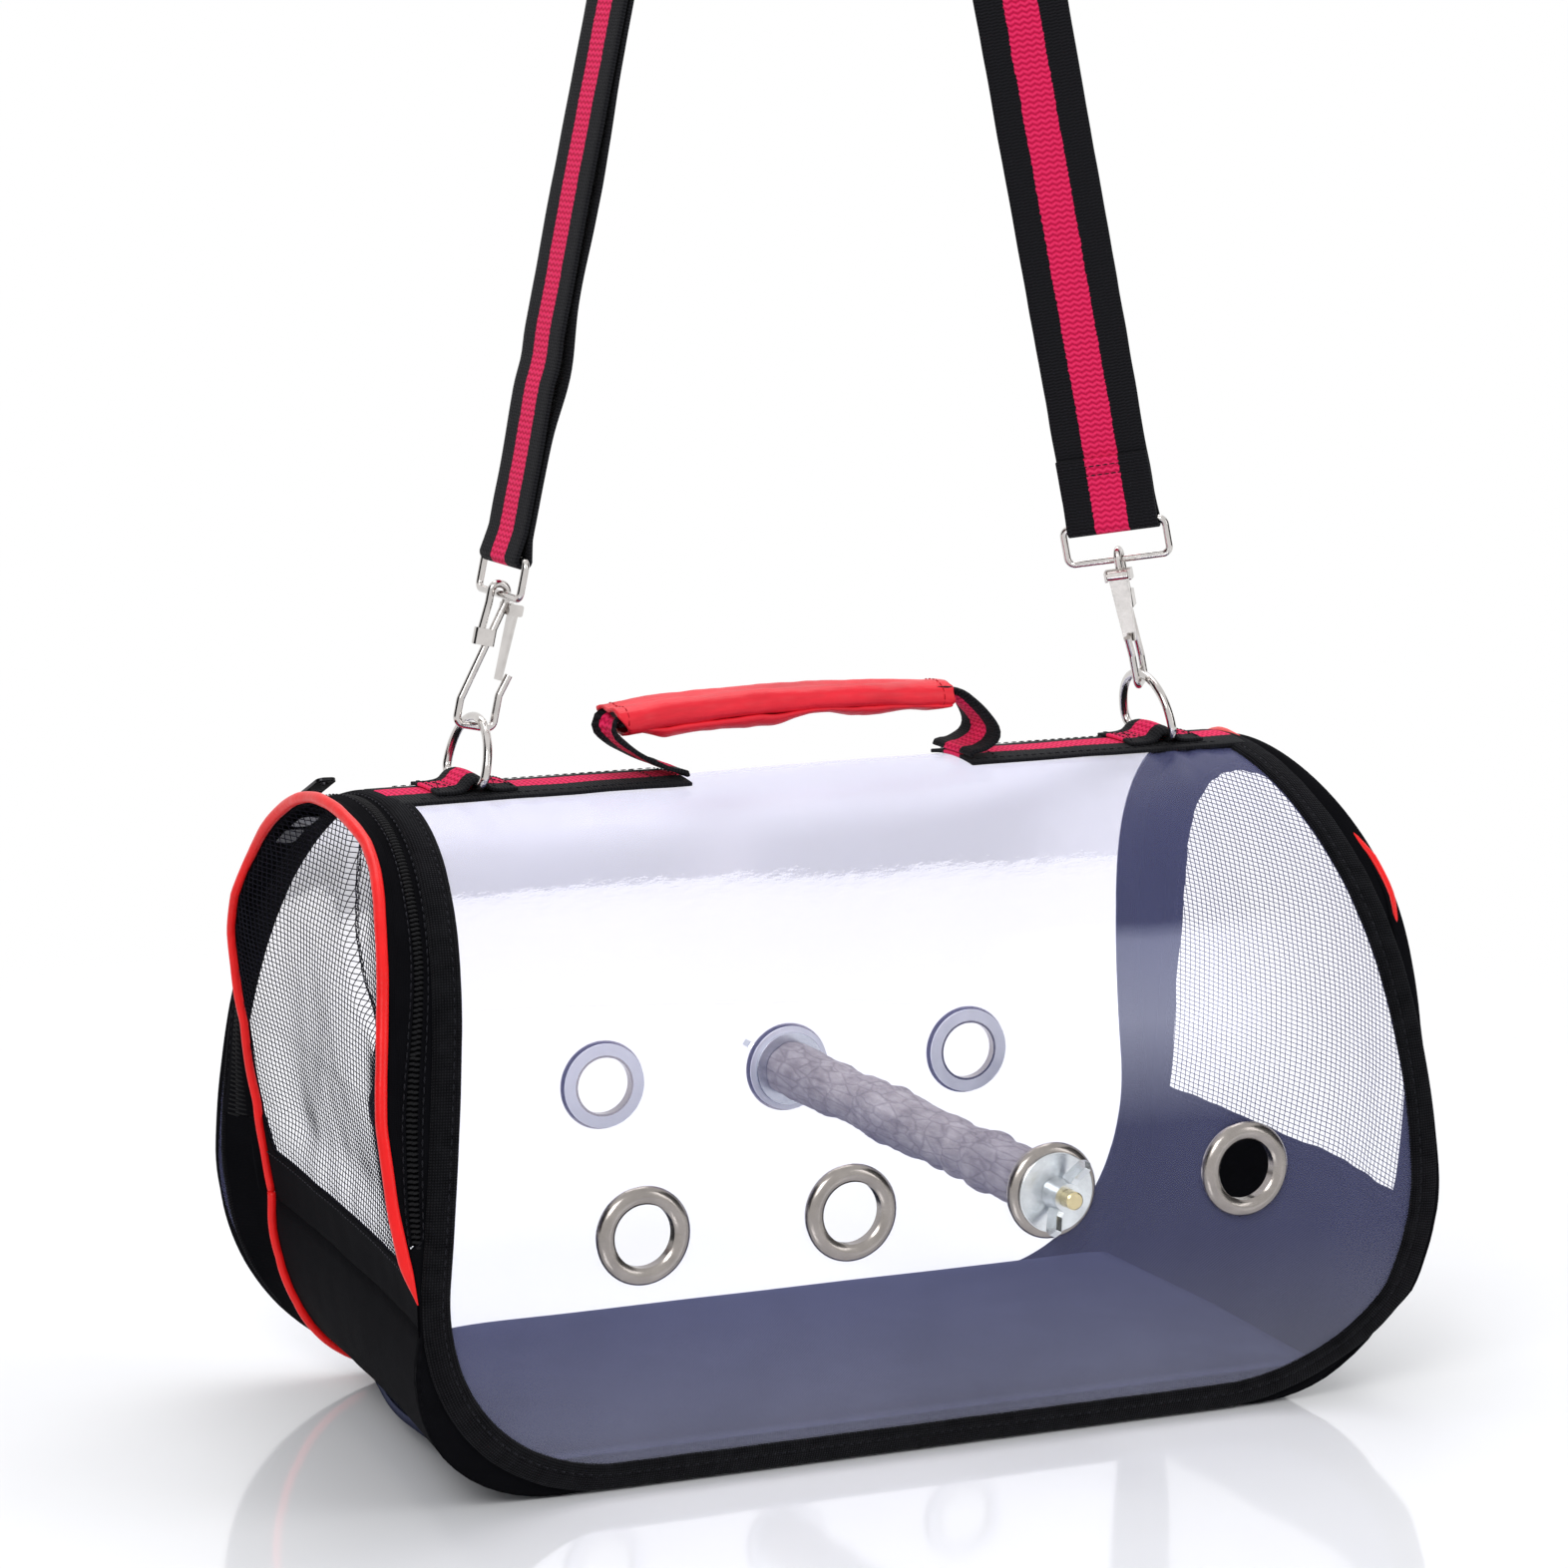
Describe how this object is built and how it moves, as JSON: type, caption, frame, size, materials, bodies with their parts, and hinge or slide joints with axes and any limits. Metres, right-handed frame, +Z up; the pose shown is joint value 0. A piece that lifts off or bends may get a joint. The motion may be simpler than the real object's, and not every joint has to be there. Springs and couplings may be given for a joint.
{
  "type": "bird travel carrier",
  "caption": "Soft arched clear travel carrier for small birds with a zipped mesh door, mesh end, eyelets, clamped perch, padded handle and clip-on shoulder strap.",
  "frame": {"origin": "centre of the flat base on the ground, under the middle of the body", "axes": "+X along the body from the zipped door at -X to the fixed mesh end, +Y from the front face to the back, +Z up"},
  "size_m": [0.3844, 0.2398, 0.6718],
  "materials": {
    "clear_sheet": "clear flexible sheet with a faint lavender haze",
    "binding": "black woven binding tape, matte, slightly fuzzy",
    "black_fabric": "black coated woven cloth, matte outside, bluish sheen inside",
    "mesh": "fine black woven mesh",
    "red_piping": "bright red sewn piping, satin",
    "board": "stiff black board",
    "pad_fabric": "blue-grey cloth over foam",
    "zip_teeth": "black coil zip teeth",
    "nickel": "nickel plated, polished",
    "zinc": "bright zinc plated",
    "branch": "dry grey-brown natural branch with bark",
    "brass_thread": "yellow passivated screw thread",
    "webbing": "black ribbed webbing with a crimson centre stripe",
    "black_metal": "black lacquered zip hardware",
    "grip_leather": "bright red grained synthetic leather, stitched",
    "grip_core": "soft foam cord",
    "black_plastic": "moulded black plastic"
  },
  "bodies": {
    "carrier": {"clear_panel": "clear_sheet", "edge_binding": "binding", "base_fabric": "black_fabric", "left_band": "black_fabric", "right_band": "black_fabric", "right_end_panel": "black_fabric", "right_end_mesh": "mesh", "right_end_piping": "red_piping", "lower_piping": "red_piping", "base_board": "board", "floor_pad": "pad_fabric", "zip_teeth_band": "zip_teeth", "eyelets_front": "nickel", "eyelets_back": "nickel", "eyelet_washers_front": "nickel", "eyelet_washers_back": "nickel", "perch": "branch", "perch_studs": "brass_thread", "perch_washers_outer": "zinc", "perch_washers_inner": "zinc", "top_strap_left": "webbing", "top_strap_right": "webbing", "ring_tabs": "webbing", "d_ring_left": "nickel", "d_ring_right": "nickel"},
    "door": {"door_panel": "black_fabric", "door_rim": "black_fabric", "door_mesh": "mesh", "door_piping": "red_piping", "zip_teeth_door": "zip_teeth"},
    "slider_front": {"zip_slider_front": "black_metal"},
    "slider_back": {"zip_slider_back": "black_metal"},
    "pull_front": {"zip_pull_front": "black_metal"},
    "pull_back": {"zip_pull_back": "black_metal"},
    "handle": {"handle_grip": "grip_leather", "handle_core": "grip_core", "handle_leg_left": "webbing", "handle_leg_right": "webbing"},
    "strap": {"shoulder_strap": "webbing", "strap_adjuster": "black_plastic", "snap_hook_left": "nickel", "snap_hook_right": "nickel", "hook_ferrule_left": "nickel", "hook_ferrule_right": "nickel", "strap_ring_left": "nickel", "strap_ring_right": "nickel"},
    "gate_left": {"hook_gate_left": "nickel"},
    "gate_right": {"hook_gate_right": "nickel"},
    "wing_nut_front": {"wing_nut_front": "zinc"},
    "wing_nut_back": {"wing_nut_back": "zinc"}
  },
  "joints": [
    {"name": "door_hinge", "type": "hinge", "parent": "carrier", "child": "door", "pos_m": [-0.1874, 0, 0.06417], "axis": [0, -1, 0], "range_deg": [0, 110]},
    {"name": "slider_front_travel", "type": "hinge", "parent": "carrier", "child": "slider_front", "pos_m": [-0.18716, -0.00005, 0.12212], "axis": [0.9703, 0, -0.2419], "range_deg": [0, 68.4]},
    {"name": "slider_back_travel", "type": "hinge", "parent": "carrier", "child": "slider_back", "pos_m": [-0.18805, -0.00253, 0.11854], "axis": [-0.9703, 0, 0.2419], "range_deg": [0, 27.8]},
    {"name": "pull_front_swing", "type": "hinge", "parent": "slider_front", "child": "pull_front", "pos_m": [-0.16666, 0.04632, 0.20788], "axis": [-0.9937, -0.1002, 0.0511], "range_deg": [-8, 90]},
    {"name": "pull_back_swing", "type": "hinge", "parent": "slider_back", "child": "pull_back", "pos_m": [-0.16832, 0.05794, 0.20095], "axis": [0.9901, 0.1154, -0.0796], "range_deg": [-8, 90]},
    {"name": "handle_lean", "type": "hinge", "parent": "carrier", "child": "handle", "pos_m": [0, 0, 0.217], "axis": [1, 0, 0], "range_deg": [-45, 45], "deforming": ["handle_leg_left", "handle_leg_right"]},
    {"name": "strap_swing", "type": "hinge", "parent": "carrier", "child": "strap", "pos_m": [0, 0, 0.2227], "axis": [1, 0, 0], "range_deg": [-32, 45]},
    {"name": "gate_left_open", "type": "hinge", "parent": "strap", "child": "gate_left", "pos_m": [-0.10907, 0, 0.27381], "axis": [0, 1, 0], "range_deg": [0, 13.5], "stiffness_Nm_per_rad": 0.01},
    {"name": "gate_right_open", "type": "hinge", "parent": "strap", "child": "gate_right", "pos_m": [0.11121, -0.00467, 0.27426], "axis": [0.7496, -0.6428, 0.158], "range_deg": [0, 13.5], "stiffness_Nm_per_rad": 0.01},
    {"name": "wing_nut_front_turn", "type": "hinge", "parent": "carrier", "child": "wing_nut_front", "pos_m": [0.036, -0.11, 0.088], "axis": [0, -1, 0], "continuous": true},
    {"name": "wing_nut_back_turn", "type": "hinge", "parent": "carrier", "child": "wing_nut_back", "pos_m": [0.036, 0.11, 0.088], "axis": [0, 1, 0], "continuous": true}
  ]
}
